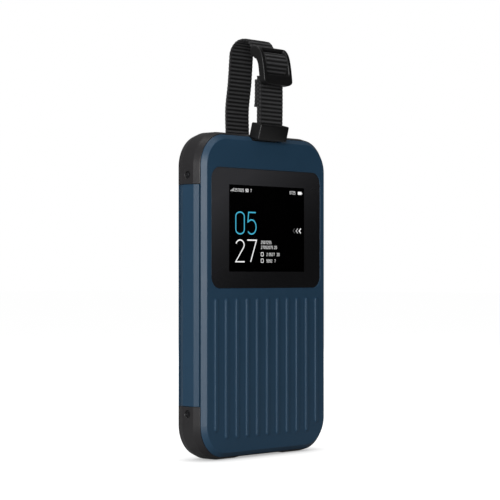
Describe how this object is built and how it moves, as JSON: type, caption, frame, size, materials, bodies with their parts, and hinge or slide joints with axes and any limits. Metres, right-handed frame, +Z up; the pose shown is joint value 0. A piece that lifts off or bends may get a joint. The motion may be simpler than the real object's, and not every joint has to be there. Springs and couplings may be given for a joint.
{
  "type": "mobile hotspot",
  "caption": "Upright battery-powered mobile hotspot in a rugged case with rubber bumper ends, a small front display, ribbed front and an adjustable webbing hand strap.",
  "frame": {"origin": "on the plane of the two feet, centred in width and midway between the front and rear faces", "axes": "+X right of the display as the user sees it, +Y to the rear, +Z up"},
  "size_m": [0.0824, 0.0249, 0.1797],
  "materials": {
    "navy_shell": "satin, fine moulded grain",
    "navy_frame": "satin, fine moulded grain",
    "bumper_rubber": "matte moulded rubber",
    "seal_silicone": "matte",
    "dark_screw": "black oxide",
    "cover_glass": "gloss, printed black border",
    "adhesive": "matte",
    "display": "gloss",
    "backlight": "satin white",
    "stainless": "brushed",
    "flex": "satin polyimide",
    "connector": "matte",
    "circuit_board": "solder mask",
    "shield_steel": "tinned",
    "chip": "moulded",
    "thermal_pad": "soft",
    "spreader_aluminium": "rolled",
    "battery_wrap": "wrapped",
    "foam": "open-cell",
    "antenna_carrier": "moulded",
    "contact_brass": "plated",
    "button_plastic": "satin",
    "flap_rubber": "matte",
    "pin_steel": "ground",
    "tray_plastic": "satin",
    "card_plastic": "printed blank",
    "keeper_plastic": "satin",
    "slider_plastic": "satin",
    "webbing": "ribbed nylon webbing"
  },
  "bodies": {
    "case": {"antenna_bottom": "antenna_carrier", "antenna_contacts": "contact_brass", "antenna_left": "antenna_carrier", "antenna_top": "antenna_carrier", "backlight_unit": "backlight", "battery_connector": "connector", "battery_foam": "foam", "battery_lead": "flex", "battery_pack": "battery_wrap", "bottom_bumper": "bumper_rubber", "button_gasket": "seal_silicone", "cap_screws": "dark_screw", "case_screws": "dark_screw", "cover_glass": "cover_glass", "display_bracket": "stainless", "display_connector": "connector", "display_flex": "flex", "display_panel": "display", "flap_hinge_pin": "pin_steel", "front_seal": "seal_silicone", "front_shell": "navy_shell", "glass_adhesive": "adhesive", "heat_spreader": "spreader_aluminium", "main_board": "circuit_board", "mid_frame": "navy_frame", "modem_chip": "chip", "modem_shield": "shield_steel", "power_switch": "connector", "processor_chip": "chip", "processor_shield": "shield_steel", "rear_seal": "seal_silicone", "rear_shell": "navy_shell", "side_key_board": "circuit_board", "sim_socket": "stainless", "strap_keeper": "keeper_plastic", "strap_keeper_run": "webbing", "strap_rear_bend": "webbing", "strap_tunnel_run": "webbing", "thermal_pads": "thermal_pad", "top_bumper": "bumper_rubber", "usb_receptacle": "stainless"},
    "strap": {"strap_front_leg": "webbing", "strap_return_leg": "webbing", "strap_tail": "webbing", "strap_rear_leg": "webbing", "strap_crown": "webbing"},
    "slider": {"strap_slider": "slider_plastic", "strap_wrap": "webbing"},
    "power_button": {"power_button": "button_plastic"},
    "port_flap": {"port_flap": "flap_rubber"},
    "sim_tray": {"sim_tray": "tray_plastic", "sim_card": "card_plastic"}
  },
  "joints": [
    {"name": "strap_sway", "type": "hinge", "parent": "case", "child": "strap", "pos_m": [0, 0, 0.1381], "axis": [1, 0, 0], "range_deg": [-20, 20], "stiffness_Nm_per_rad": 0.02, "deforming": ["strap_front_leg", "strap_return_leg", "strap_rear_leg"]},
    {"name": "slider_adjust", "type": "slide", "parent": "strap", "child": "slider", "axis": [0, 0, 1], "range_m": [-0.006, 0]},
    {"name": "power_press", "type": "slide", "parent": "case", "child": "power_button", "axis": [-1, 0, 0], "range_m": [0, 0.0004], "stiffness_N_per_m": 500},
    {"name": "flap_hinge", "type": "hinge", "parent": "case", "child": "port_flap", "pos_m": [0.0403, 0, 0.03275], "axis": [0, 1, 0], "range_deg": [0, 100]},
    {"name": "tray_slide", "type": "slide", "parent": "case", "child": "sim_tray", "axis": [1, 0, 0], "range_m": [0, 0.018]}
  ]
}
